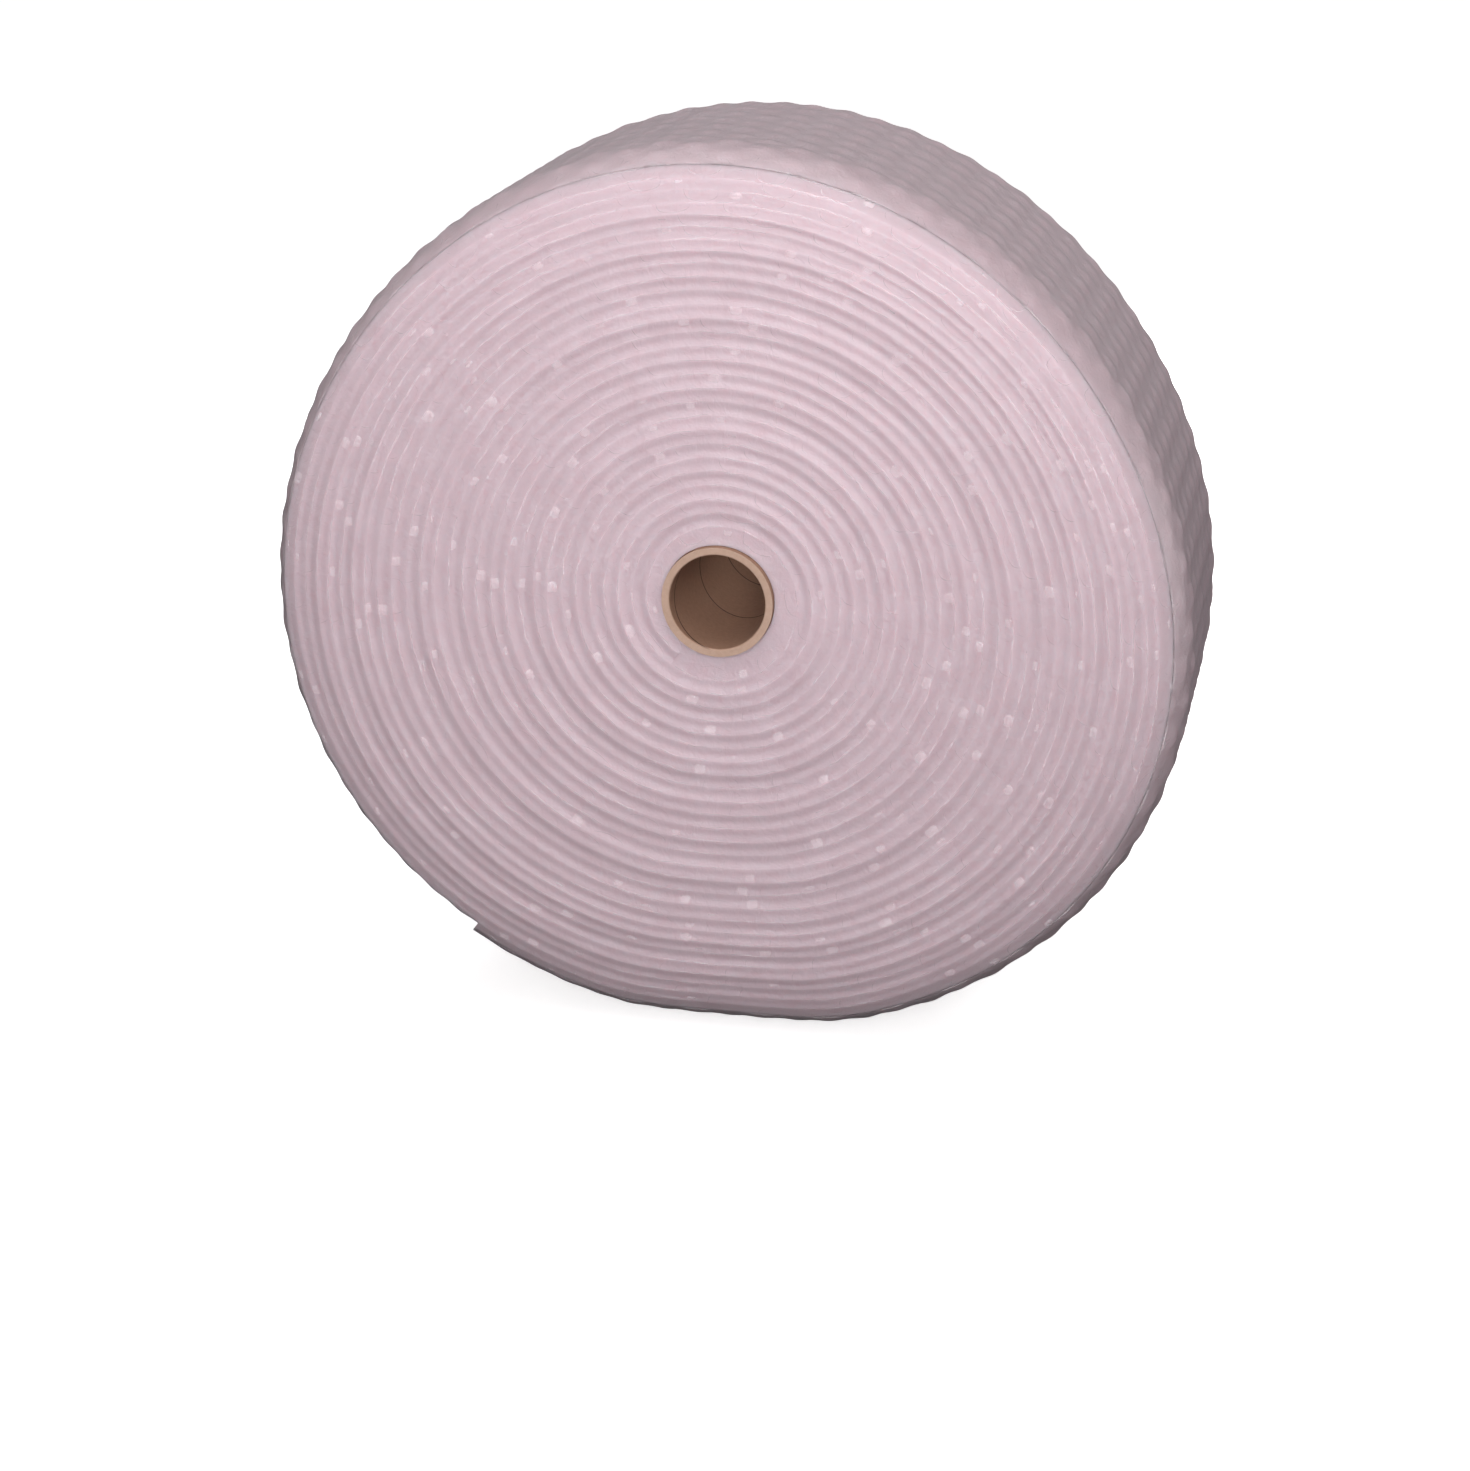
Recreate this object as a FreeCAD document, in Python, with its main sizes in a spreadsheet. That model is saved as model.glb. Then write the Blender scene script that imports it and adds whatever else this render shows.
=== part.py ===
# Bubble wrap roll: large-bubble cushioning film, wound on a cardboard core.
# The roll lies on its side on the small flat spot that its own weight presses into it.
# Millimetres. +Z is up, the core's axis runs along Y, and the end that is looked at faces -Y.
# The origin is on the floor, at the middle of the flat spot, straight below the core's axis.
import FreeCAD, Part
import math
import os

import Sketcher
from FreeCAD import Placement, Rotation, Vector

# Each row: alias, value, what it is. Lengths are in millimetres and angles in degrees.
SIZES = [
    ("core_bore", 76.2, "inside diameter of the cardboard tube, 3 inches"),
    ("core_wall", 6.0, "wall of the cardboard tube"),
    ("core_proud", 2.0, "how far the tube stands out of the film at each end"),
    ("core_chamfer", 0.8, "broken edge at the mouths of the tube"),
    ("wind_clearance", 0.3, "gap between the tube and the first turn of film"),
    ("film_width", 304.8, "width of the film, 12 inches"),
    ("roll_radius", 372.0, "mean radius of the wound film"),
    ("axis_height", 372.0, "height of the core's axis above the floor"),
    ("flat_width", 130.0, "width of the flat spot that the roll rests on"),
    ("sag", 18.2, "how far the film's outline has sunk past the core"),
    ("sag_angle", 248.0, "direction of that sag, from +X towards +Z"),
    ("oval", 5.6, "how far the outline is out of round, as an ellipse is"),
    ("oval_angle", 339.0, "direction of the ellipse's long axis"),
    ("lobe", 4.3, "how far the outline is out of round, in three lobes"),
    ("lobe_angle", 325.0, "direction of the first lobe"),
    ("turn_pitch", 11.3, "thickness of one turn of film, bubbles and all"),
    ("ridge_depth", 4.0, "depth of the valley between two turns of film edge"),
    ("shoulder_width", 100.0, "width of the rounded shoulder at the rim of each end"),
    ("shoulder_drop", 28.0, "how far the last turn lies back at the rim"),
    ("hub_rise", 1.0, "how far the film at the core stands out of the turns round it"),
    ("rim_land", 4.0, "narrow land between the foot of the shoulder and the bubbles"),
    ("bubble_pitch", 28.0, "distance from one row of bubbles to the next"),
    ("bubble_rise", 1.8, "how far the backing bulges over a row of bubbles"),
    ("tail_angle", 235.0, "where the loose end of the film lies"),
    ("tail_lip", 6.5, "how much higher the step at the loose end is than the land is wide"),
]

FACETS_PER_TURN = 30     # straight stretches that one turn of film edge is made of
CREST, VALLEY = 0.25, 0.75    # where the ridge and the valley of one turn lie, in turns
FEWEST_TURNS = 3
FEWEST_ROWS = 2          # of bubbles, from the tail or the start to the flat spot
FLOOR_REACH = 0.5        # the floor presses only where the outline points down more steeply than this
SOFTNESS = 3.0           # how gently the outline runs into the flat spot

document = FreeCAD.newDocument("bubble_wrap_roll")
sheet = document.addObject("Spreadsheet::Sheet", "sizes")
for row, (alias, value, meaning) in enumerate(SIZES, start=1):
    sheet.set(f"A{row}", alias)
    sheet.set(f"B{row}", str(value))
    sheet.set(f"C{row}", meaning)
    sheet.setAlias(f"B{row}", alias)
document.recompute()


def size(alias):
    """A driving dimension, read from the sheet."""
    return float(sheet.get(alias))


def origin_plane(body, role):
    """One of a body's own origin planes."""
    return next(item for item in body.Origin.OriginFeatures if item.Role == role)


# Cardboard core

def make_core_tube():
    """A straight cardboard tube, with the edges of its mouths broken."""
    body = document.addObject("PartDesign::Body", "core_tube")
    body.Label = "core_tube"
    sketch = body.newObject("Sketcher::SketchObject", "core_section")
    sketch.AttachmentSupport = (origin_plane(body, "XZ_Plane"), [""])
    sketch.MapMode = "FlatFace"
    centre = Vector(0, size("axis_height"), 0)
    wall = {
        "inside": (size("core_bore") / 2, "sizes.core_bore / 2"),
        "outside": (size("core_bore") / 2 + size("core_wall"), "sizes.core_bore / 2 + sizes.core_wall"),
    }
    for name, (radius, formula) in wall.items():
        ring = sketch.addGeometry(Part.Circle(centre, Vector(0, 0, 1), radius), False)
        sketch.addConstraint(Sketcher.Constraint("PointOnObject", ring, 3, -2))
        height = sketch.addConstraint(Sketcher.Constraint("DistanceY", -1, 1, ring, 3, centre.y))
        sketch.setExpression(f"Constraints[{height}]", "sizes.axis_height")
        across = sketch.addConstraint(Sketcher.Constraint("Radius", ring, radius))
        sketch.renameConstraint(across, name)
        sketch.setExpression(f"Constraints.{name}", formula)
    tube = body.newObject("PartDesign::Pad", "core_wall_pad")
    tube.Profile = sketch
    tube.SideType = "Symmetric"
    tube.setExpression("Length", "sizes.film_width + 2 * sizes.core_proud")
    document.recompute()
    mouths = body.newObject("PartDesign::Chamfer", "core_mouths")
    inner_edges = [
        f"Edge{number}"
        for number, edge in enumerate(tube.Shape.Edges, start=1)
        if isinstance(edge.Curve, Part.Circle) and abs(edge.Curve.Radius - size("core_bore") / 2) < 0.01
    ]
    mouths.Base = (tube, inner_edges)
    mouths.setExpression("Size", "sizes.core_chamfer")
    body.Tip = mouths
    return body


# Wound film

def outline(angle):
    """Distance from the core's axis to the roll's outside, before the flat spot, at an angle in radians."""
    return (
        size("roll_radius")
        + size("sag") * math.cos(angle - math.radians(size("sag_angle")))
        + size("oval") * math.cos(2 * (angle - math.radians(size("oval_angle"))))
        + size("lobe") * math.cos(3 * (angle - math.radians(size("lobe_angle"))))
    )


def pressed_outline(angle):
    """The outline with the floor's flat spot pressed softly into it."""
    radius = outline(angle)
    down = -math.sin(angle)
    if down < FLOOR_REACH:
        return radius
    floor = size("axis_height") / down
    return min(radius, floor) - SOFTNESS * math.log(1 + math.exp(-abs(radius - floor) / SOFTNESS))


def lay_back(nominal):
    """How far a turn's edge lies back from the full width of the film."""
    into_shoulder = max(0.0, nominal - size("roll_radius") + size("shoulder_width")) / size("shoulder_width")
    rounding = size("shoulder_drop") * (1 - math.sqrt(max(0.0, 1 - into_shoulder**2)))
    return size("hub_rise") + rounding


def near_point(radius, winding, back):
    """A point on the near end, from its distance to the axis and its winding angle, which runs clockwise."""
    angle = math.radians(size("tail_angle")) - winding
    return Vector(
        radius * math.cos(angle),
        back - size("film_width") / 2,
        size("axis_height") + radius * math.sin(angle),
    )


def film_radius(nominal, winding):
    """The distance from the axis of a turn that would lie at the nominal radius in a perfectly round roll."""
    angle = math.radians(size("tail_angle")) - winding
    share = (nominal / size("roll_radius")) ** 2
    return nominal + share * (pressed_outline(angle) - size("roll_radius"))


def outside_radius(winding):
    """The distance from the axis to the top of the bubbles of the last turn, winding being its own angle."""
    angle = math.radians(size("tail_angle")) - winding
    step = size("rim_land") + size("tail_lip")
    return pressed_outline(angle) - step * (1 - winding / (2 * math.pi))


def corner_windings(turn):
    """The winding angles of the corners of one turn of film edge."""
    return [2 * math.pi * (turn + corner / FACETS_PER_TURN) for corner in range(FACETS_PER_TURN + 1)]


def edge_line(point_at, turn=0):
    """A line of film edge: straight stretches that follow point_at through one turn of the winding."""
    corners = [point_at(winding) for winding in corner_windings(turn)]
    return [Part.makeLine(start, end) for start, end in zip(corners, corners[1:])]


def round_line(point_at):
    """One turn of film edge that is truly round, in as many arcs."""
    windings = corner_windings(0)
    return [
        Part.Arc(point_at(start), point_at((start + end) / 2), point_at(end)).toShape()
        for start, end in zip(windings, windings[1:])
    ]


def bands(inner, outer):
    """The faces between two lines of film edge."""
    return [Part.makeRuledSurface(first, second) for first, second in zip(inner, outer)]


def bubble_rows(back):
    """The outline of the last turn: a round rib for each row of bubbles, and a straight flat spot."""
    half_flat = math.atan2(size("flat_width") / 2, size("axis_height"))
    flat_middle = math.radians(size("tail_angle") - 270) + 2 * math.pi
    stretches = ((0.0, flat_middle - half_flat), (flat_middle + half_flat, 2 * math.pi))
    corners = []
    for start, end in stretches:
        rows = max(FEWEST_ROWS, round((end - start) * size("roll_radius") / size("bubble_pitch")))
        corners.append([start + (end - start) * row / rows for row in range(rows + 1)])
    flat_ends = [
        Vector(side * size("flat_width") / 2, back - size("film_width") / 2, 0.0) for side in (1, -1)
    ]
    edges = []
    for number, stretch in enumerate(corners):
        for start, end in zip(stretch, stretch[1:]):
            first, last = (
                near_point(outside_radius(winding) - size("bubble_rise"), winding, back)
                for winding in (start, end)
            )
            if number == 0 and end == stretch[-1]:
                edges.append(Part.makeLine(first, flat_ends[0]))
                edges.append(Part.makeLine(*flat_ends))
            elif number == 1 and start == stretch[0]:
                edges.append(Part.makeLine(flat_ends[1], last))
            else:
                middle = (start + end) / 2
                top = near_point(outside_radius(middle), middle, back)
                edges.append(Part.Arc(first, top, last).toShape())
    return edges


def mirrored(shapes):
    """The same shapes on the far end."""
    return [shape.mirror(Vector(0, 0, 0), Vector(0, 1, 0)) for shape in shapes]


def make_bubble_web():
    """The film: one long strip, whose turns show as a spiral of ridges at both ends."""
    full_turn = 2 * math.pi
    seat = size("core_bore") / 2 + size("core_wall") + size("wind_clearance")
    foot_inset = size("bubble_rise") + size("rim_land")
    wound = size("roll_radius") - foot_inset - seat
    turns = max(FEWEST_TURNS, round(wound / size("turn_pitch")))
    step = wound / (turns + VALLEY)
    rim_back = size("hub_rise") + size("shoulder_drop") + 2 * size("ridge_depth")

    def crest(winding):
        nominal = seat + step * (CREST + winding / full_turn)
        return near_point(film_radius(nominal, winding), winding, lay_back(nominal))

    def valley(winding):
        nominal = seat + step * (VALLEY + winding / full_turn)
        back = lay_back(nominal) + size("ridge_depth")
        return near_point(film_radius(nominal, winding), winding, back)

    def hub(winding):
        return near_point(seat, winding, 0.0)

    def shoulder_foot(winding):
        return near_point(outside_radius(winding) - foot_inset, winding, rim_back)

    hub_arcs = round_line(hub)
    crests = [edge_line(crest, turn) for turn in range(turns)]
    valleys = [edge_line(valley, turn) for turn in range(turns - 1)]
    foot = edge_line(shoulder_foot)

    near_end = bands(hub_arcs, crests[0]) + bands(crests[-1], foot)
    for turn, line in enumerate(valleys):
        near_end += bands(crests[turn], line) + bands(line, crests[turn + 1])

    # The loose beginning of the film, against the core
    near_end.append(Part.Face(Part.makePolygon([hub(0), crest(0), valley(0), crest(full_turn), hub(0)])))

    # The narrow land at the foot of the shoulder, out to the bubbles
    rows = bubble_rows(rim_back)
    first = near_point(outside_radius(0) - size("bubble_rise"), 0, rim_back)
    last = near_point(outside_radius(full_turn) - size("bubble_rise"), full_turn, rim_back)
    ends = [Part.makeLine(shoulder_foot(0), first), Part.makeLine(last, shoulder_foot(full_turn))]
    near_end.append(Part.Face(Part.Wire(Part.__sortEdges__(rows + ends + foot))))

    across = Vector(0, size("film_width") - 2 * rim_back, 0)
    outside = [row.extrude(across) for row in rows]
    bore = [arc.extrude(Vector(0, size("film_width"), 0)) for arc in hub_arcs]

    # The step at the loose end of the film
    step_side = [
        shoulder_foot(0),
        crest(full_turn * (turns - 1)),
        valley(full_turn * (turns - 1)),
        crest(full_turn * turns),
        shoulder_foot(full_turn),
        last,
    ]
    far_side = [Vector(point.x, -point.y, point.z) for point in reversed(step_side)]
    start_line = [first, Vector(first.x, -first.y, first.z)]
    tail = Part.Face(Part.makePolygon(step_side + far_side + [start_line[1], start_line[0], step_side[0]]))

    shell = Part.Shell(near_end + mirrored(near_end) + outside + bore + [tail])
    shell.sewShape()
    solid = Part.Solid(shell)
    if solid.Volume < 0:
        solid.reverse()
    web = document.addObject("Part::Feature", "bubble_web")
    web.Label = "bubble_web"
    web.Shape = solid
    web.Placement = Placement(Vector(0, 0, 0), Rotation())
    return web


def check_and_export(parts):
    """Stop at anything that failed, then write one STEP file for each piece."""
    document.recompute()
    for item in document.Objects:
        if "Invalid" in item.State or "Error" in item.State:
            raise RuntimeError(f"{item.Label} failed: {item.State}")
    os.makedirs("parts", exist_ok=True)
    for part in parts:
        shape = part.Shape
        if shape.isNull() or not shape.isValid() or len(shape.Solids) != 1:
            raise RuntimeError(f"{part.Label} is not one valid solid")
        shape.exportStep(os.path.join("parts", f"{part.Label}.step"))
        box = shape.BoundBox
        print(
            f"{part.Label}: {shape.Volume / 1e6:.2f} litres,"
            f" x {box.XMin:.1f} to {box.XMax:.1f}, y {box.YMin:.1f} to {box.YMax:.1f},"
            f" z {box.ZMin:.1f} to {box.ZMax:.1f}"
        )


check_and_export([make_core_tube(), make_bubble_web()])
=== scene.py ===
import math

import bpy
import numpy as np
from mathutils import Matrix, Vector


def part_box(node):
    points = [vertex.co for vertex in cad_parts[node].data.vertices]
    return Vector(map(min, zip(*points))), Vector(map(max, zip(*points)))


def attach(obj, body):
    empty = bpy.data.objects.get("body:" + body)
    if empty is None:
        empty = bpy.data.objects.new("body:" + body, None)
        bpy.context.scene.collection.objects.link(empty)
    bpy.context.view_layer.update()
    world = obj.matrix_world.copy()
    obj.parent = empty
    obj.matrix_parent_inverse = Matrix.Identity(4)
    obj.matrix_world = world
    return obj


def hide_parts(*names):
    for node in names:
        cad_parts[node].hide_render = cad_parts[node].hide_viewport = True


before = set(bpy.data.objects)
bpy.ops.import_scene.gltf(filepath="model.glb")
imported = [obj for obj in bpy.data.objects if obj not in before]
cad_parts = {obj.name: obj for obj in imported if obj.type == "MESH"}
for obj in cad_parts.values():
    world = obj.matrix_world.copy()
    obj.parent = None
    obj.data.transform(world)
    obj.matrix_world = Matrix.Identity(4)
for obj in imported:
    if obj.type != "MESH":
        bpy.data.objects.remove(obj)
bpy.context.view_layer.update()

MM = 0.001
FULL_TURN = 2 * math.pi
NEAR, FAR = -1, 1

# Sizes of the roll, from the frame's own solids
tube_low, tube_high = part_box("core_tube")
web_low, web_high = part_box("bubble_web")
AXIS_HEIGHT = (tube_low[2] + tube_high[2]) / 2
HALF_WIDTH = (web_high[1] - web_low[1]) / 2

# The outline that the film has sunk into, as in the solid
ROLL_RADIUS = 372 * MM
FLOOR_BELOW_AXIS = 373.5 * MM    # a little past the floor, which then flattens the film that reaches it
SAG, SAG_ANGLE = 18.2 * MM, math.radians(248)
OVAL, OVAL_ANGLE = 5.6 * MM, math.radians(339)
LOBE, LOBE_ANGLE = 4.3 * MM, math.radians(325)
SOFTNESS = 3 * MM
FLOOR_REACH = 0.5                # the floor presses only where the outline points down more steeply than this
TAIL_ANGLE = math.radians(235)

# The film: its bubbles face the core and its flat backing faces out
SEAT_RADIUS = 44.4 * MM          # the outside of the core, with its clearance
BUBBLE_HEIGHT = 10.4 * MM
BUBBLE_ROOM = 0.6 * MM           # between the bubbles of the first turn and the core
INSIDE_BOX = 0.4 * MM            # how far the last bubbles stay inside the solid's outline
QUILTING = 1.7 * MM              # how far the backing bulges over the bubbles of the last turn
FILM_START = SEAT_RADIUS + BUBBLE_HEIGHT + BUBBLE_ROOM    # where the backing of the first turn lies
TURNS = 28
TURN_PITCH = (ROLL_RADIUS - INSIDE_BOX - QUILTING - FILM_START) / TURNS
ROW_SPACING = 28 * MM            # from one row of bubbles to the next, along the strip
BUBBLES_ACROSS = 9.5             # bubble spacings across the strip
ACROSS_SPACING = 2 * HALF_WIDTH / BUBBLES_ACROSS
BUBBLE_RADIUS = 14.9 * MM
FILM_EDGE = 0.4 * MM             # drawn thicker than real film, so that an edge shows
EDGE_RIPPLE = 0.8 * MM           # how far the backing sinks in between two rows of bubbles
CREASES = ((0.35, 17.3, 0), (0.25, 41.7, 2))    # share of that ripple, waves a turn and phase
EDGE_PROUD = 0.8 * MM            # how far the film edges stand out of the milky film behind them
VALLEY_DEPTH = 0.9 * MM          # how much deeper that film lies between two turns
RAGGED = ((0.5 * MM, 11.9, 1), (0.3 * MM, 29.3, 0))    # how far an edge strays, waves a turn and phase
RAGGED_REACH = 0.8 * MM          # keeps such an edge inside the width of the film
EDGE_DEPTH = 1.3 * MM            # how far the turns lie inside the width of the film
TURNS_ASTRAY = ((0.5 * MM, 0.37, 0), (0.4 * MM, 0.23, 1))    # how far a turn strays, waves a turn and phase
LOBES_ASTRAY = (0.4 * MM, 3, 0.5)    # the same round the roll
SHOULDER_WIDTH = 98 * MM
SHOULDER_DROP = 27 * MM
RIM_DROOP = 14 * MM              # how far the last turns sink towards the core at their edges
RIM_DROOP_DEPTH = 50 * MM
HUB_RISE = 1 * MM
END_DEPTH = 70 * MM              # from here inwards, the shape of the ends no longer shifts the film
STEPS_PER_TURN = 108
VALLEY_STEPS = (0, 0.12, 0.25, 0.38, 0.5, 0.62, 0.75, 0.88, 1.0)    # from one turn to the next
QUILTED_ALONG, QUILTED_ACROSS = 560, 41    # points of the last turn's backing, along it and to its middle

# A bubble's side: how far out, and how high, as shares of its radius and height
BUBBLE_PROFILE = ((1.0, 0.0), (0.985, 0.34), (0.93, 0.66), (0.80, 0.87), (0.50, 0.975))

# How bubbles differ, as shares of their size
SMALLEST_BUBBLE = 0.9
FLATTEST_BUBBLE = 0.8
SLACK_BUBBLES = 0.1              # share of the bubbles that have lost air
SLACK_HEIGHTS = (0.4, 0.8)
LEAN = 0.05

# The bubbles next to an end: how deep a cut one starts, and how much nearer the end a whole one may lie
CUT_DEPTHS = (0.2, 1.6)          # millimetres
WHOLE_SHIFTS = (0, 1.5)          # millimetres

# The photograph's camera: where it stands about the near end of the core, and where it looks
PHOTO_LONG_SIDE = 1471
FOCAL_PIXELS = 3200
SENSOR_MM = 36
CAMERA_BEARING = math.radians(12.47)
CAMERA_ELEVATION = math.radians(17.01)
CAMERA_DISTANCE = 2.481
CAMERA_TURN = math.radians(12.14)
CAMERA_TILT = math.radians(-19.40)

# The studio
FLOOR_HALF_WIDTH = 30
FLOOR_GLOW = 0.68                # keeps the floor near white without more light on the roll
DAYLIGHT = 0.5                   # from above the horizon
FLOOR_LIGHT = 0.09               # from below it, in the place of what the floor would send up

random = np.random.default_rng(12)


# The winding

def outline(angle):
    """Distance from the core's axis to the roll's outside, flat spot and all."""
    radius = (
        ROLL_RADIUS
        + SAG * np.cos(angle - SAG_ANGLE)
        + OVAL * np.cos(2 * (angle - OVAL_ANGLE))
        + LOBE * np.cos(3 * (angle - LOBE_ANGLE))
    )
    floor = FLOOR_BELOW_AXIS / np.maximum(-np.sin(angle), FLOOR_REACH)
    pressed = np.minimum(radius, floor) - SOFTNESS * np.log1p(np.exp(-abs(radius - floor) / SOFTNESS))
    return np.where(-np.sin(angle) < FLOOR_REACH, radius, pressed)


def lay_back(nominal, angle):
    """How far a turn's edge lies back from the full width: a rounded rim, and a little straying."""
    into = np.clip((nominal - ROLL_RADIUS + SHOULDER_WIDTH) / SHOULDER_WIDTH, 0, 1)
    rounding = SHOULDER_DROP * (1 - np.sqrt(1 - into**2))
    wound = (nominal - FILM_START) / TURN_PITCH * FULL_TURN
    stray = sum(reach * np.sin(waves * wound + phase) for reach, waves, phase in TURNS_ASTRAY)
    reach, waves, phase = LOBES_ASTRAY
    return HUB_RISE + rounding + EDGE_DEPTH + stray + reach * np.sin(waves * angle + phase)


def backing_radius(winding):
    """The nominal radius of the flat backing film at a winding angle."""
    return FILM_START + TURN_PITCH * winding / FULL_TURN


def along_strip(winding):
    """The distance along the strip from its start to a winding angle."""
    return FILM_START * winding + TURN_PITCH / FULL_TURN * winding**2 / 2


def edge_ripple(winding):
    """How far the backing sinks in between two rows of bubbles, and its small creases."""
    rows = np.cos(FULL_TURN * along_strip(winding) / ROW_SPACING)
    creases = sum(share * np.sin(winding * waves + phase) for share, waves, phase in CREASES)
    return EDGE_RIPPLE * (rows + creases)


def place(winding, above, depth, end):
    """Points on the strip: winding angle, height above its backing film and depth behind one end."""
    angle = TAIL_ANGLE - winding
    nominal = backing_radius(winding) + above
    share = (nominal / ROLL_RADIUS) ** 2
    radius = nominal + share * (outline(angle) - ROLL_RADIUS)
    into_shoulder = np.clip((nominal - ROLL_RADIUS + SHOULDER_WIDTH) / SHOULDER_WIDTH, 0, 1)
    radius = radius - RIM_DROOP * into_shoulder * np.clip(1 - depth / RIM_DROOP_DEPTH, 0, 1) ** 2
    fade = np.clip(1 - depth / END_DEPTH, 0, 1)
    y = end * (HALF_WIDTH - depth - fade * lay_back(nominal, angle))
    x = radius * np.cos(angle)
    z = np.maximum(AXIS_HEIGHT + radius * np.sin(angle), 0)
    return np.stack(np.broadcast_arrays(x, y, z), axis=-1)


def row_windings():
    """The winding angle of every row of bubbles, evenly spaced along the strip."""
    growth = TURN_PITCH / FULL_TURN
    along = np.arange(ROW_SPACING / 2, along_strip(TURNS * FULL_TURN), ROW_SPACING)
    return (np.sqrt(FILM_START**2 + 2 * growth * along) - FILM_START) / growth


# Meshes

def add_mesh(name, points, faces, material, slot):
    """A smooth piece of the roll from its points and faces."""
    mesh = bpy.data.meshes.new(name)
    mesh.from_pydata(points.reshape(-1, 3).tolist(), [], faces)
    mesh.polygons.foreach_set("use_smooth", [True] * len(mesh.polygons))
    mesh.materials.append(material)
    mesh.update()
    piece = bpy.data.objects.new(name, mesh)
    bpy.context.scene.collection.objects.link(piece)
    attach(piece, "root")
    return piece


def grid_faces(rows, columns, flip=False):
    """Quads over a grid of points, row by row."""
    faces = []
    for row in range(rows - 1):
        for column in range(columns - 1):
            corner = row * columns + column
            quad = (corner, corner + 1, corner + columns + 1, corner + columns)
            faces.append(quad[::-1] if flip else quad)
    return faces


def bubble_template(segments, first, last):
    """The part of a bubble between two angles: its points as (side, inward, up) shares, and its faces."""
    count = segments + 1
    angles = [first + (last - first) * number / segments for number in range(count)]
    points = [
        (out * math.cos(angle), out * math.sin(angle), up) for out, up in BUBBLE_PROFILE for angle in angles
    ]
    faces = grid_faces(len(BUBBLE_PROFILE), count)
    top_ring = (len(BUBBLE_PROFILE) - 1) * count
    points.append((0.0, 0.0, 1.0))
    for number in range(segments):
        faces.append((top_ring + number, top_ring + number + 1, len(points) - 1))
    return np.array(points), faces


def bubbles(windings, depths, end, segments, first, last):
    """Many part bubbles on the strip, each a little different: their points and faces."""
    shape, shape_faces = bubble_template(segments, first, last)
    count = len(windings)
    radius = BUBBLE_RADIUS * random.uniform(SMALLEST_BUBBLE, 1.0, (count, 1))
    height = -BUBBLE_HEIGHT * (1 - (1 - FLATTEST_BUBBLE) * random.random((count, 1)) ** 2)
    slack = np.where(
        random.random((count, 1)) < SLACK_BUBBLES, random.uniform(*SLACK_HEIGHTS, (count, 1)), 1.0
    )
    lean = random.normal(0, LEAN, (count, 2))
    side, inward, up = shape.T
    tilt = 1 + lean[:, :1] * side + lean[:, 1:] * inward
    above = np.clip(up * tilt, 0, 1) * height * slack
    winding = windings[:, None] + radius * side / backing_radius(windings)[:, None]
    depth = depths[:, None] + radius * inward
    points = place(winding, above + edge_ripple(winding), depth, end)
    if end == NEAR:
        shape_faces = [face[::-1] for face in shape_faces]
    offsets = np.arange(count) * len(shape)
    faces = [tuple(index + offset for index in face) for offset in offsets for face in shape_faces]
    return points.reshape(-1, 3), faces


def joined(*lots):
    """Several lots of points and faces as one."""
    points, faces, start = [], [], 0
    for lot_points, lot_faces in lots:
        points.append(lot_points)
        faces += [tuple(index + start for index in face) for face in lot_faces]
        start += len(lot_points)
    return np.concatenate(points), faces


# Materials

CLOUD_SIZE = 24 * MM             # patches of milkier and clearer film, about as wide as a bubble
WRINKLE_SIZE = 8 * MM            # coarser than real wrinkles of the film, so that they show
WRINKLE_DEPTH = 1.4 * MM
LDPE_IOR = 1.51
FIBRE_SIZE = 3 * MM              # coarser than real paper fibres, so that they show
PLY_WIDTH = 90 * MM              # width of the paper strip that the tube is wound from
PAPER_RELIEF = 0.6 * MM
PAPER_IOR = 1.45


def linear(hex_colour):
    """An sRGB hex colour as linear RGBA."""
    channels = [int(hex_colour[start:start + 2], 16) / 255 for start in (1, 3, 5)]
    return (*[c / 12.92 if c <= 0.04045 else ((c + 0.055) / 1.055) ** 2.4 for c in channels], 1.0)


def add_node(tree, kind, settings=None, inputs=None):
    """Adds a node, sets its properties, and sets or links its inputs."""
    node = tree.nodes.new(kind)
    for name, value in (settings or {}).items():
        setattr(node, name, value)
    for name, value in (inputs or {}).items():
        if isinstance(value, bpy.types.NodeSocket):
            tree.links.new(value, node.inputs[name])
        else:
            node.inputs[name].default_value = value
    return node


def end_facing(tree):
    """1 where a surface faces along the core's axis, 0 where it faces away from the core."""
    normal = add_node(tree, "ShaderNodeNewGeometry").outputs["True Normal"]
    along = add_node(tree, "ShaderNodeSeparateXYZ", None, {"Vector": normal}).outputs["Y"]
    return add_node(tree, "ShaderNodeMath", {"operation": "ABSOLUTE"}, {0: along}).outputs[0]


def new_material(name):
    """An empty node material, with its tree and its object coordinates."""
    material = bpy.data.materials.new(name)
    material.use_nodes = True
    tree = material.node_tree
    tree.nodes.clear()
    coordinates = add_node(tree, "ShaderNodeTexCoord").outputs["Object"]
    return material, tree, coordinates


def two_tone(tree, factor, low, high):
    """A colour that runs from low to high with a factor."""
    mix = add_node(
        tree, "ShaderNodeMix", {"data_type": "RGBA"}, {"Factor": factor, 6: linear(low), 7: linear(high)}
    )
    return mix.outputs[2]


def finish_material(tree, surface):
    """Links a shader to the material's output."""
    add_node(tree, "ShaderNodeOutputMaterial", None, {"Surface": surface.outputs[0]})


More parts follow.
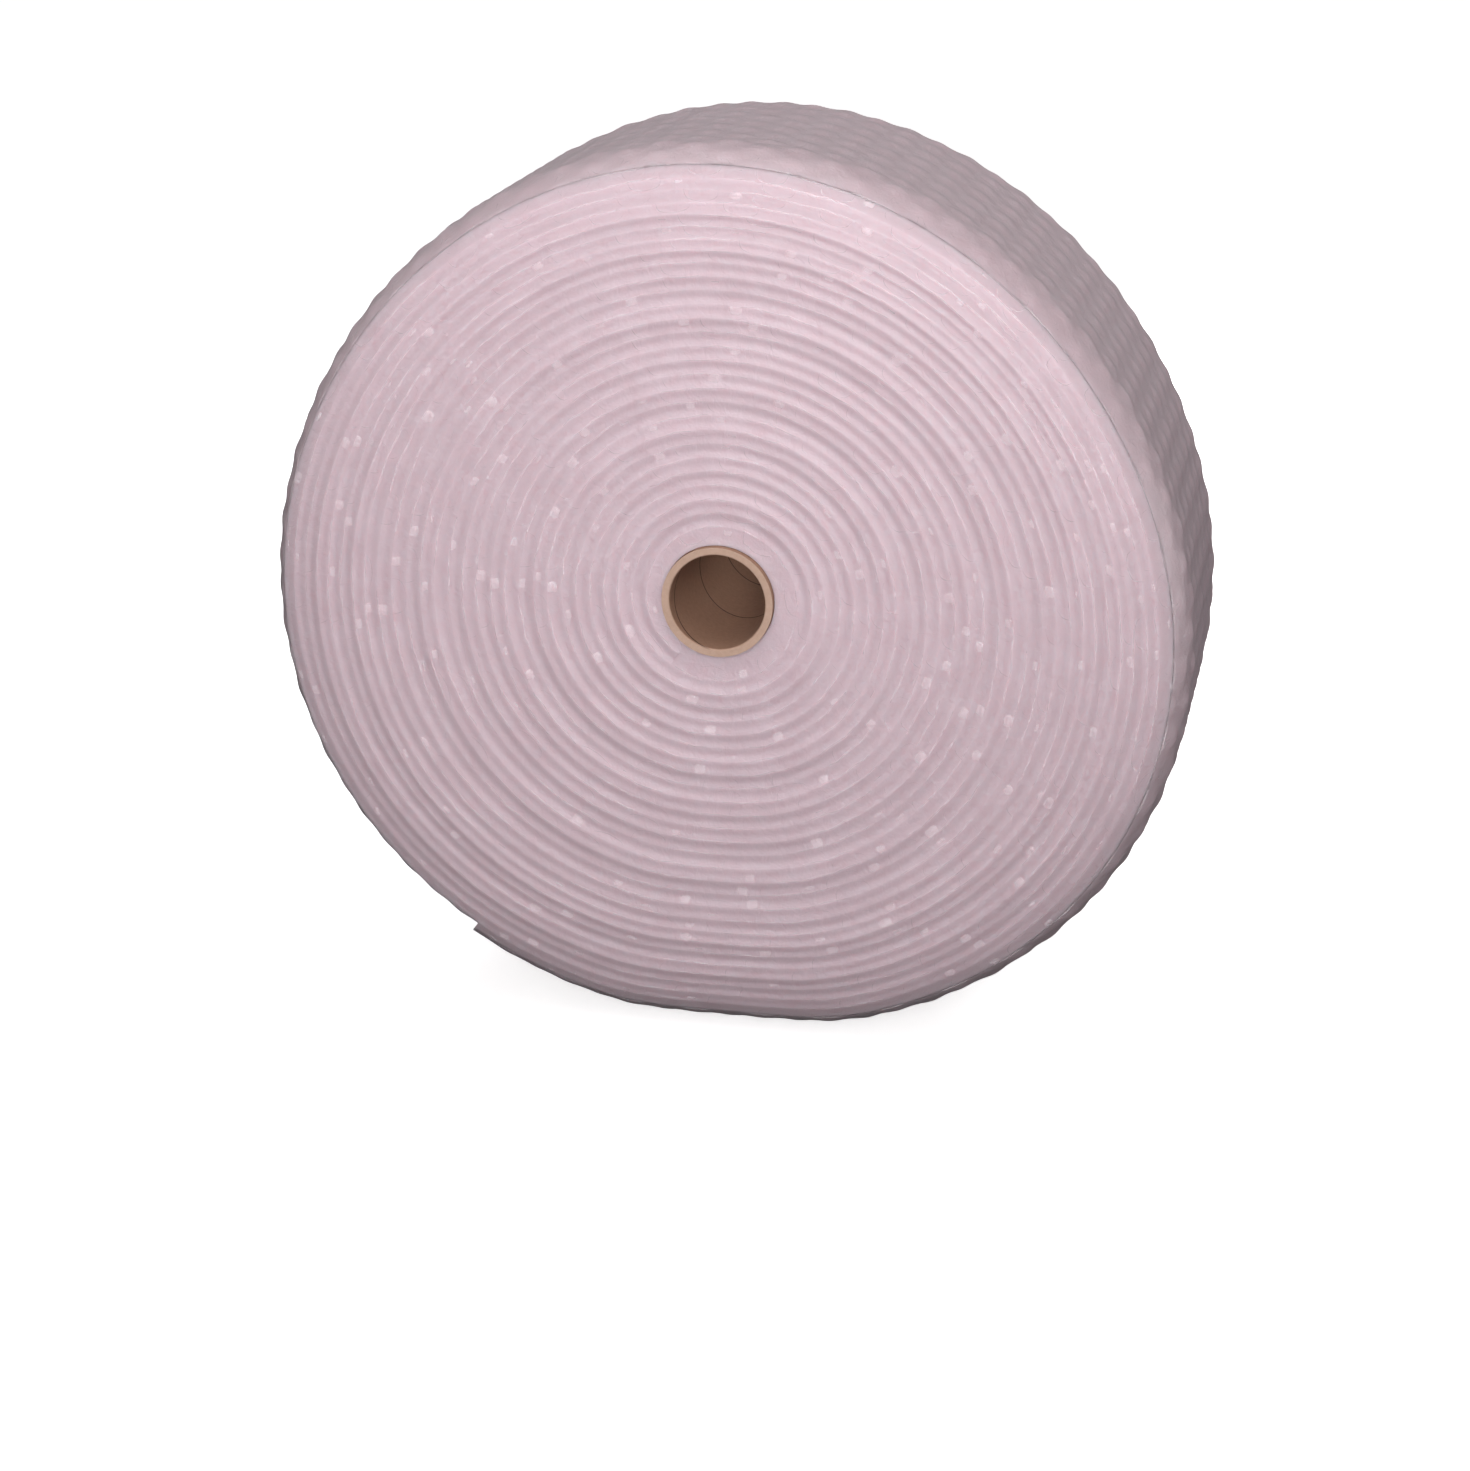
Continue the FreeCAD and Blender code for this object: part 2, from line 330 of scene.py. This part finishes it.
def film_look(tree, where, cloudy, clear):
    """The colour of milky film, a little uneven, and the bump of its fine wrinkles."""
    cloud = add_node(
        tree, "ShaderNodeTexNoise", None, {"Vector": where, "Scale": 1 / CLOUD_SIZE, "Detail": 3.0}
    )
    wrinkle = add_node(
        tree,
        "ShaderNodeTexNoise",
        None,
        {"Vector": where, "Scale": 1 / WRINKLE_SIZE, "Detail": 3.0, "Roughness": 0.6, "Distortion": 0.4},
    )
    bump = add_node(
        tree,
        "ShaderNodeBump",
        None,
        {"Height": wrinkle.outputs["Fac"], "Strength": 0.6, "Distance": WRINKLE_DEPTH},
    )
    return two_tone(tree, cloud.outputs["Fac"], cloudy, clear), bump.outputs["Normal"]


def clear_film_material():
    """One layer of low-density polyethylene film: light passes through it, and it gleams."""
    material, tree, where = new_material("ldpe_bubble_film")
    colour, normal = film_look(tree, where, "#F6E8ED", "#FFF8FA")
    gleam = add_node(
        tree,
        "ShaderNodeBsdfPrincipled",
        None,
        {"Base Color": colour, "Roughness": 0.25, "IOR": LDPE_IOR, "Normal": normal},
    )
    glow = add_node(tree, "ShaderNodeBsdfTranslucent", None, {"Color": colour})
    lit = add_node(tree, "ShaderNodeMixShader", None, {0: 0.12, 1: gleam.outputs[0], 2: glow.outputs[0]})
    clear = add_node(tree, "ShaderNodeBsdfTransparent")
    finish_material(
        tree, add_node(tree, "ShaderNodeMixShader", None, {0: 0.24, 1: clear.outputs[0], 2: lit.outputs[0]})
    )
    return material


def milky_film_material():
    """Many layers of the same film, one behind the other: milky, with light scattered inside. Its outside is
    darker than its ends, partly as painted shade, and painted shade darkens it where it is seen at a grazing
    angle.
    """
    material, tree, where = new_material("ldpe_film_in_layers")
    at_ends, normal = film_look(tree, where, "#CFB8C0", "#DBC7CF")
    # The outside of the roll gets a darker copy of the film's colour than its ends: partly the film's own
    # look, partly painted shade, as the outside turns away from the front light.
    outside, _ = film_look(tree, where, "#BDA8AE", "#CAB6BC")
    at_end = add_node(
        tree, "ShaderNodeMapRange", None, {"Value": end_facing(tree), "From Min": 0.45, "From Max": 0.95}
    ).outputs[0]
    colour = add_node(
        tree, "ShaderNodeMix", {"data_type": "RGBA"}, {"Factor": at_end, 6: outside, 7: at_ends}
    ).outputs[2]
    roughness = add_node(tree, "ShaderNodeMapRange", None, {"Value": at_end, "To Min": 0.34, "To Max": 0.55})
    # Painted shade: the colour runs towards a darker grey-pink where a surface is seen at a grazing angle,
    # which darkens the rounded rim and the outside towards the silhouette.
    grazing_painted_shade = add_node(tree, "ShaderNodeLayerWeight", None, {"Blend": 0.34}).outputs["Facing"]
    colour = add_node(
        tree, "ShaderNodeMix", {"data_type": "RGBA"}, {"Factor": grazing_painted_shade, 6: colour, 7: linear("#97868D")}
    ).outputs[2]
    finish_material(
        tree,
        add_node(
            tree,
            "ShaderNodeBsdfPrincipled",
            None,
            {
                "Base Color": colour,
                "Roughness": roughness.outputs[0],
                "IOR": LDPE_IOR,
                "Subsurface Weight": 1.0,
                "Subsurface Radius": (0.016, 0.013, 0.013),
                "Subsurface Scale": 1.0,
                "Normal": normal,
            },
        ),
    )
    return material


def cardboard_material():
    """Spiral-wound kraft paper board: matt and fibrous, with the seam of its outer ply running round it."""
    material, tree, where = new_material("kraft_cardboard")
    split = add_node(tree, "ShaderNodeSeparateXYZ", None, {"Vector": where})
    fibres = add_node(
        tree, "ShaderNodeTexNoise", None, {"Vector": where, "Scale": 1 / FIBRE_SIZE, "Detail": 6.0}
    )
    up = add_node(
        tree, "ShaderNodeMath", {"operation": "SUBTRACT"}, {0: split.outputs["Z"], 1: AXIS_HEIGHT}
    )
    angle = add_node(
        tree, "ShaderNodeMath", {"operation": "ARCTAN2"}, {0: up.outputs[0], 1: split.outputs["X"]}
    )
    turns = add_node(tree, "ShaderNodeMath", {"operation": "DIVIDE"}, {0: angle.outputs[0], 1: FULL_TURN})
    along = add_node(tree, "ShaderNodeMath", {"operation": "DIVIDE"}, {0: split.outputs["Y"], 1: PLY_WIDTH})
    helix = add_node(
        tree, "ShaderNodeMath", {"operation": "ADD"}, {0: turns.outputs[0], 1: along.outputs[0]}
    )
    seam = add_node(tree, "ShaderNodeMath", {"operation": "PINGPONG"}, {0: helix.outputs[0], 1: 0.5})
    gap = add_node(
        tree,
        "ShaderNodeMapRange",
        {"interpolation_type": "SMOOTHSTEP"},
        {"Value": seam.outputs[0], "From Min": 0.0, "From Max": 0.018, "To Min": 0.0, "To Max": 1.0},
    )
    cut_end = end_facing(tree)
    ply = two_tone(tree, fibres.outputs["Fac"], "#987460", "#B48C74")
    pulp = two_tone(tree, fibres.outputs["Fac"], "#B0917F", "#C4A594")
    paper_mix = add_node(tree, "ShaderNodeMix", {"data_type": "RGBA"}, {"Factor": cut_end, 6: ply, 7: pulp})
    paper = paper_mix.outputs[2]
    whole = add_node(tree, "ShaderNodeMath", {"operation": "MAXIMUM"}, {0: gap.outputs[0], 1: cut_end})
    colour = add_node(
        tree,
        "ShaderNodeMix",
        {"data_type": "RGBA"},
        {"Factor": whole.outputs[0], 6: linear("#3E2A1E"), 7: paper},
    )
    height = add_node(
        tree,
        "ShaderNodeMath",
        {"operation": "MULTIPLY_ADD"},
        {0: fibres.outputs["Fac"], 1: 0.35, 2: whole.outputs[0]},
    )
    bump = add_node(
        tree, "ShaderNodeBump", None, {"Height": height.outputs[0], "Strength": 0.6, "Distance": PAPER_RELIEF}
    )
    surface = add_node(
        tree,
        "ShaderNodeBsdfPrincipled",
        None,
        {
            "Base Color": colour.outputs[2],
            "Roughness": 0.88,
            "IOR": PAPER_IOR,
            "Normal": bump.outputs["Normal"],
        },
    )
    finish_material(tree, surface)
    return material


def floor_material():
    """A plain, pale, matt studio floor."""
    material, tree, where = new_material("studio_floor")
    grain = add_node(tree, "ShaderNodeTexNoise", None, {"Vector": where, "Scale": 3.0})
    colour = two_tone(tree, grain.outputs["Fac"], "#F4F3F3", "#F7F6F6")
    surface = add_node(
        tree,
        "ShaderNodeBsdfPrincipled",
        None,
        {"Base Color": colour, "Roughness": 0.9, "Emission Color": colour, "Emission Strength": FLOOR_GLOW},
    )
    finish_material(tree, surface)
    return material


film = clear_film_material()
milky = milky_film_material()
cardboard = cardboard_material()


# The pieces

def film_edges(end):
    """The edges of the backing film at one end: a thin strip on edge, wound from the core to the tail."""
    winding = np.linspace(0, TURNS * FULL_TURN, TURNS * STEPS_PER_TURN)
    ragged = RAGGED_REACH + sum(reach * np.sin(winding * waves + phase) for reach, waves, phase in RAGGED)
    back = EDGE_PROUD + VALLEY_DEPTH
    section = ((-FILM_EDGE, back), (-FILM_EDGE, ragged), (0, ragged), (0, back))
    lines = [place(winding, above + edge_ripple(winding), depth, end) for above, depth in section]
    points = np.stack(lines, axis=1)
    return points.reshape(-1, 3), grid_faces(len(winding), len(section), flip=end == NEAR)


def end_bubbles(end):
    """The bubbles next to one end: every other row is cut through by the slitting, and the rest are whole."""
    rows = row_windings()
    cut, whole = (rows[0::2], rows[1::2]) if end == NEAR else (rows[1::2], rows[0::2])
    cut_depths = random.uniform(*CUT_DEPTHS, len(cut)) * MM
    whole_depths = ACROSS_SPACING / 2 - random.uniform(*WHOLE_SHIFTS, len(whole)) * MM
    return joined(
        bubbles(cut, cut_depths, end, 9, 0.0, math.pi),                  # the inner half
        bubbles(whole, whole_depths, end, 7, math.pi, FULL_TURN),        # the half towards the end
    )


def quilting(winding, depth):
    """How far the backing of the last turn bulges over the bubbles under it, which lie in staggered rows."""
    along = along_strip(winding) / ROW_SPACING
    bulge = np.zeros(np.broadcast(winding, depth).shape)
    for row in (np.floor(along), np.floor(along) + 1):
        across = depth / ACROSS_SPACING - np.where(row % 2 == 0, 0, 0.5)
        away_along = (along - row) * ROW_SPACING
        away_across = (across - np.round(across)) * ACROSS_SPACING
        share = np.clip(np.hypot(away_along, away_across) / BUBBLE_RADIUS, 0, 1)
        bulge = np.maximum(bulge, 0.5 + 0.5 * np.cos(math.pi * share))
    return QUILTING * bulge


def last_backing():
    """The backing of the last turn from edge to edge, up to the tail's end."""
    winding = np.linspace((TURNS - 1) * FULL_TURN, TURNS * FULL_TURN, QUILTED_ALONG)[:, None]
    depth = np.linspace(EDGE_PROUD, HALF_WIDTH, QUILTED_ACROSS)[None, :]
    near = place(winding, quilting(winding, depth), depth, NEAR)
    far = place(winding, quilting(winding, 2 * HALF_WIDTH - depth), depth, FAR)
    near_lip, far_lip = (place(winding, 0, np.array([[EDGE_PROUD]]), end) for end in (NEAR, FAR))
    points = np.concatenate([near_lip, near, far[:, -2::-1], far_lip], axis=1)
    return points.reshape(-1, 3), grid_faces(*points.shape[:2], flip=True)


def strip_grid(winding, columns, flip):
    """A grid on the strip: along it by winding angle, and across by (height, depth, end)."""
    points = np.stack([place(winding, above, depth, end) for above, depth, end in columns], axis=1)
    return points.reshape(-1, 3), grid_faces(len(winding), len(columns), flip=flip)


def inner_layers():
    """The mass of film behind the edges, with a valley between two turns, and the step at the tail."""
    inside = np.linspace(0, (TURNS - 1) * FULL_TURN, (TURNS - 1) * STEPS_PER_TURN)
    first = np.linspace(0, FULL_TURN, STEPS_PER_TURN)
    lots = []
    for end in (NEAR, FAR):
        flip = end == NEAR
        valley = [
            (share * TURN_PITCH, EDGE_PROUD + VALLEY_DEPTH * math.sin(math.pi * share) ** 2, end)
            for share in VALLEY_STEPS
        ]
        lots.append(strip_grid(inside, valley, flip))
        hub = place(first, 0, EDGE_PROUD, end)
        angle = TAIL_ANGLE - first
        seat = np.stack(
            [SEAT_RADIUS * np.cos(angle), hub[:, 1], AXIS_HEIGHT + SEAT_RADIUS * np.sin(angle)], axis=-1
        )
        middle = (hub + seat) / 2 - [0, end * VALLEY_DEPTH, 0]
        hub_points = np.stack([seat, middle, hub], axis=1)
        lots.append((hub_points.reshape(-1, 3), grid_faces(len(first), 3, flip=flip)))
    across = EDGE_PROUD + (HALF_WIDTH - EDGE_PROUD) * np.linspace(0, 1, 12) ** 1.5    # closer at the rim
    lines = [(depth, NEAR) for depth in across] + [(depth, FAR) for depth in across[-2::-1]]
    tail = [
        place(np.array([turn * FULL_TURN]), 0, depth, end)[0]
        for turn in (TURNS - 1, TURNS)
        for depth, end in lines
    ]
    lots.append((np.array(tail), grid_faces(2, len(lines))))
    return joined(*lots)


near_end = add_mesh("near_end_film", *joined(film_edges(NEAR), end_bubbles(NEAR)), film, "bubble_film")
far_end = add_mesh("far_end_film", *joined(film_edges(FAR), end_bubbles(FAR)), film, "bubble_film")
last_turn = add_mesh("last_turn_film", *last_backing(), milky, "bubble_film")
near_end.visible_shadow = far_end.visible_shadow = False    # clear film hardly shades what lies behind it
layers = add_mesh("film_layers", *inner_layers(), milky, "bubble_film")
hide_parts("bubble_web")

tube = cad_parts["core_tube"]
tube.data.materials.clear()
tube.data.materials.append(cardboard)


# The studio

def add_floor():
    """A wide plain floor."""
    signs = ((-1, -1), (1, -1), (1, 1), (-1, 1))
    corners = [(x * FLOOR_HALF_WIDTH, y * FLOOR_HALF_WIDTH, 0) for x, y in signs]
    mesh = bpy.data.meshes.new("floor")
    mesh.from_pydata(corners, [], [(0, 1, 2, 3)])
    mesh.materials.append(floor_material())
    floor = bpy.data.objects.new("floor", mesh)
    bpy.context.scene.collection.objects.link(floor)
    floor.visible_diffuse = floor.visible_glossy = False


def add_area_light(name, place_at, aim_at, size, power, spread=math.pi):
    """A soft square light that faces a point."""
    data = bpy.data.lights.new(name, "AREA")
    data.size = size
    data.energy = power
    data.spread = spread
    light = bpy.data.objects.new(name, data)
    light.location = place_at
    light.rotation_euler = (Vector(aim_at) - light.location).to_track_quat("-Z", "Y").to_euler()
    bpy.context.scene.collection.objects.link(light)
    return light


def add_world():
    """Even light from all around, with less of it from below, and a white ground behind the floor."""
    world = bpy.data.worlds.new("studio")
    world.use_nodes = True
    tree = world.node_tree
    background = tree.nodes["Background"]
    direction = add_node(tree, "ShaderNodeNewGeometry").outputs["Incoming"]
    down = add_node(tree, "ShaderNodeSeparateXYZ", None, {"Vector": direction}).outputs["Z"]
    strength = add_node(
        tree,
        "ShaderNodeMapRange",
        None,
        {"Value": down, "From Min": -0.2, "From Max": 0.2, "To Min": DAYLIGHT, "To Max": FLOOR_LIGHT},
    )
    seen = add_node(tree, "ShaderNodeLightPath").outputs["Is Camera Ray"]
    shown = add_node(tree, "ShaderNodeMath", {"operation": "MAXIMUM"}, {0: strength.outputs[0], 1: seen})
    background.inputs["Color"].default_value = linear("#F8F7F7")
    tree.links.new(shown.outputs[0], background.inputs["Strength"])
    bpy.context.scene.world = world


def add_camera():
    """The photograph's camera."""
    data = bpy.data.cameras.new("camera")
    data.sensor_width = SENSOR_MM
    data.lens = SENSOR_MM * FOCAL_PIXELS / PHOTO_LONG_SIDE
    camera = bpy.data.objects.new("camera", data)
    level = CAMERA_DISTANCE * math.cos(CAMERA_ELEVATION)
    camera.location = (
        level * math.sin(CAMERA_BEARING),
        -HALF_WIDTH - level * math.cos(CAMERA_BEARING),
        AXIS_HEIGHT + CAMERA_DISTANCE * math.sin(CAMERA_ELEVATION),
    )
    camera.rotation_euler = (math.pi / 2 + CAMERA_TILT, 0, CAMERA_TURN)
    bpy.context.scene.collection.objects.link(camera)
    bpy.context.scene.camera = camera


add_floor()
add_area_light("key_front", (0.35, -2.6, 1.25), (-0.02, -HALF_WIDTH, 0.71), 1.1, 7.1, math.radians(58))
add_area_light("top", (-0.4, 0.1, 3.2), (0, 0, AXIS_HEIGHT), 2.4, 28)
add_area_light("fill_right", (2.4, 0.2, 0.15), (0, 0, 0.25), 1.5, 14)
behind = add_area_light("behind", (0.6, 2.6, 0.85), (0, HALF_WIDTH, AXIS_HEIGHT), 0.8, 34)
behind.visible_glossy = False
add_world()
add_camera()

bpy.context.scene.view_settings.view_transform = "Standard"
